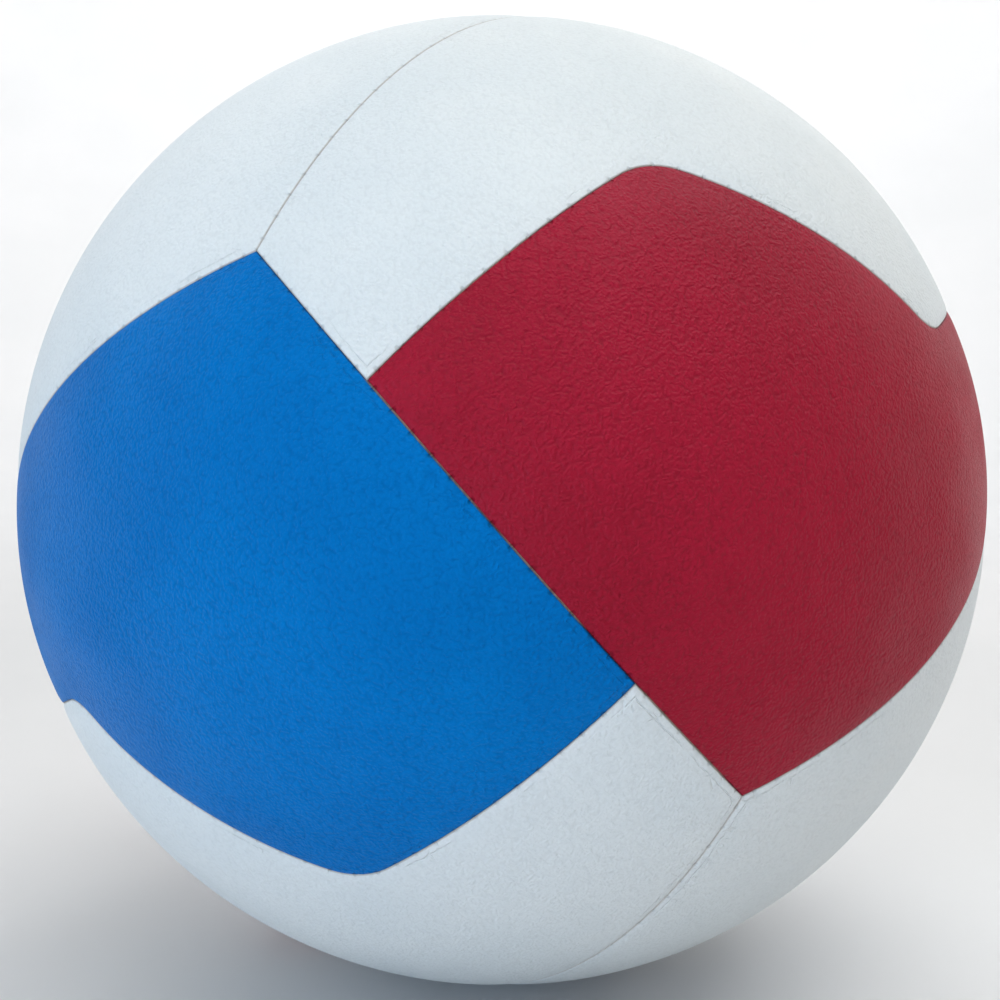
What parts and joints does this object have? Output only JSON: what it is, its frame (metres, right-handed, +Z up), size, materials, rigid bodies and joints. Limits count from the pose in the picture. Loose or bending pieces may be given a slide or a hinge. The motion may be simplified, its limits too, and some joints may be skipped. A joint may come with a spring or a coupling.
{
  "type": "weighted training ball",
  "caption": "Hand-sized weighted ball for throwing and rehabilitation drills, with stitched leather panels over a loaded rubber shell and an inflatable bladder.",
  "frame": {"origin": "the ball's centre", "axes": "+Z up; the axis through the two cap panels lies in the XZ plane, 42.5 degrees from +Z towards -X, and -Y goes through the middle of the front upright seam"},
  "size_m": [0.21, 0.21, 0.21],
  "materials": {
    "blue_leather": "pebbled synthetic leather, satin",
    "red_leather": "pebbled synthetic leather, satin",
    "white_leather": "pebbled synthetic leather, satin",
    "lining_cloth": "foam-backed woven cloth, matt",
    "loaded_rubber": "filled rubber, matt",
    "bladder_rubber": "butyl rubber, smooth",
    "valve_rubber": "moulded rubber, satin",
    "thread": "waxed polyester thread"
  },
  "bodies": {
    "root": {"panel_blue_front": "blue_leather", "panel_blue_back": "blue_leather", "panel_red_front": "red_leather", "panel_red_back": "red_leather", "panel_white_upper_front": "white_leather", "panel_white_upper_back": "white_leather", "panel_white_lower_front": "white_leather", "panel_white_lower_back": "white_leather", "panel_cap_upper": "white_leather", "panel_cap_lower": "white_leather", "lining_blue_front": "lining_cloth", "lining_blue_back": "lining_cloth", "lining_red_front": "lining_cloth", "lining_red_back": "lining_cloth", "lining_white_upper_front": "lining_cloth", "lining_white_upper_back": "lining_cloth", "lining_white_lower_front": "lining_cloth", "lining_white_lower_back": "lining_cloth", "lining_cap_upper": "lining_cloth", "lining_cap_lower": "lining_cloth", "weight_shell_upper": "loaded_rubber", "weight_shell_lower": "loaded_rubber", "bladder": "bladder_rubber", "valve_patch": "bladder_rubber", "valve_body": "valve_rubber", "valve_core": "valve_rubber", "thread_cap_upper": "thread", "thread_cap_lower": "thread", "thread_uprights": "thread", "thread_zigzags": "thread"}
  },
  "joints": []
}
